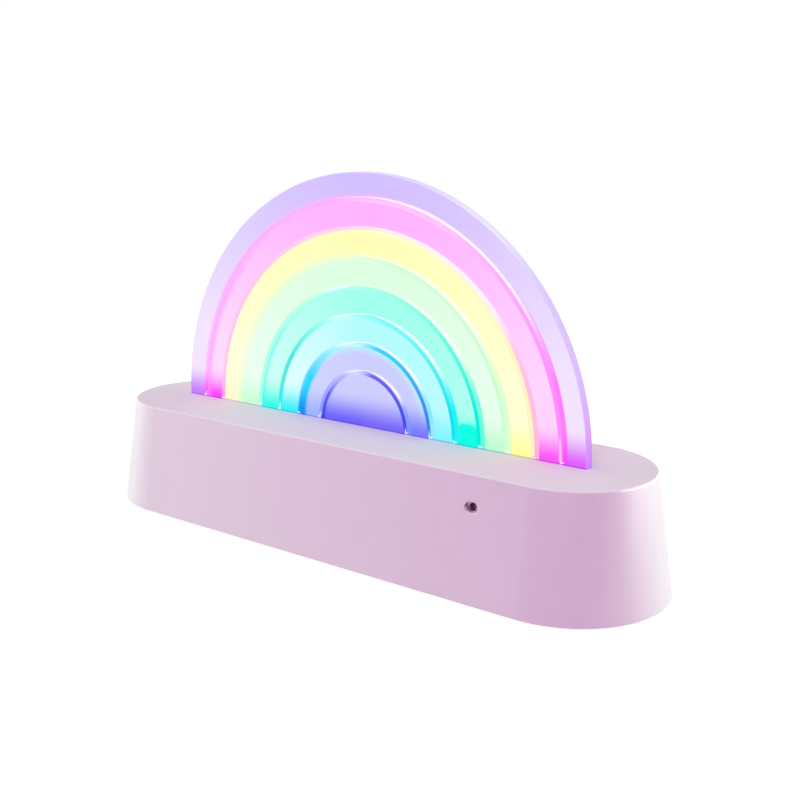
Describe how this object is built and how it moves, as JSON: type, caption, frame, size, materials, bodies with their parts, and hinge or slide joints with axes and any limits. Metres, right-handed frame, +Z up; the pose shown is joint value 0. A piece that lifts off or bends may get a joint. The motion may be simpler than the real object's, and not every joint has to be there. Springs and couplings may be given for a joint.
{
  "type": "rainbow lamp",
  "caption": "Table lamp: a grooved half-round acrylic panel, edge-lit in rainbow bands, stands in a slot of a tapered lilac base with a microphone port, socket and button.",
  "frame": {"origin": "on the ground plane under the centre of the base", "axes": "+X along the base to the viewer's right, +Y to the back with the socket and button, +Z up"},
  "size_m": [0.2, 0.0574, 0.1121],
  "materials": {
    "lilac_abs": "fine matt moulding, pastel lilac",
    "button_abs": "satin moulding, pastel lilac",
    "lit_acrylic": "polished acrylic that glows in bands of colour",
    "white_abs": "matt white moulding",
    "zinc_steel": "zinc plated",
    "pale_rubber": "matt silicone rubber",
    "black_rubber": "matt rubber",
    "white_board": "white solder mask over glass fibre",
    "green_board": "green solder mask over glass fibre",
    "light_case": "white reflector moulding",
    "light_lens": "clear resin over the emitters",
    "ceramic": "fired ceramic",
    "black_epoxy": "moulded epoxy",
    "ferrite": "sintered ferrite",
    "bare_aluminium": "drawn can",
    "socket_steel": "nickel plated pressing",
    "black_nylon": "moulded nylon",
    "white_nylon": "moulded nylon",
    "wire_cover": "soft vinyl insulation",
    "black_felt": "thin felt",
    "battery_foil": "laminated foil pouch",
    "foam_tape": "closed cell foam tape"
  },
  "bodies": {
    "lamp": {"base_shell": "lilac_abs", "bottom_cover": "lilac_abs", "rainbow_panel": "lit_acrylic", "panel_holder": "white_abs", "cover_screws": "zinc_steel", "holder_screws": "zinc_steel", "led_board_screws": "zinc_steel", "board_screws": "zinc_steel", "rubber_feet": "pale_rubber", "mic_boot": "black_rubber", "led_board": "white_board", "main_board": "green_board", "battery_guard_board": "green_board", "led_cases": "light_case", "led_lenses": "light_lens", "led_capacitors": "ceramic", "controller_chip": "black_epoxy", "charger_chip": "black_epoxy", "board_resistors": "black_epoxy", "boost_coil": "ferrite", "board_capacitors": "bare_aluminium", "mic_capsule": "bare_aluminium", "usb_socket": "socket_steel", "usb_tongue": "black_nylon", "mode_switch": "black_nylon", "led_header": "white_nylon", "led_plug": "white_nylon", "battery_header": "white_nylon", "battery_plug": "white_nylon", "led_wires": "wire_cover", "mic_wires": "wire_cover", "battery_wires": "wire_cover", "mic_felt": "black_felt", "battery_cell": "battery_foil", "battery_foam": "foam_tape"},
    "button": {"mode_button": "button_abs", "switch_plunger": "white_nylon"}
  },
  "joints": [
    {"name": "button_press", "type": "slide", "parent": "lamp", "child": "button", "axis": [0, -1, 0], "range_m": [0, 0.0006], "stiffness_N_per_m": 1500}
  ]
}
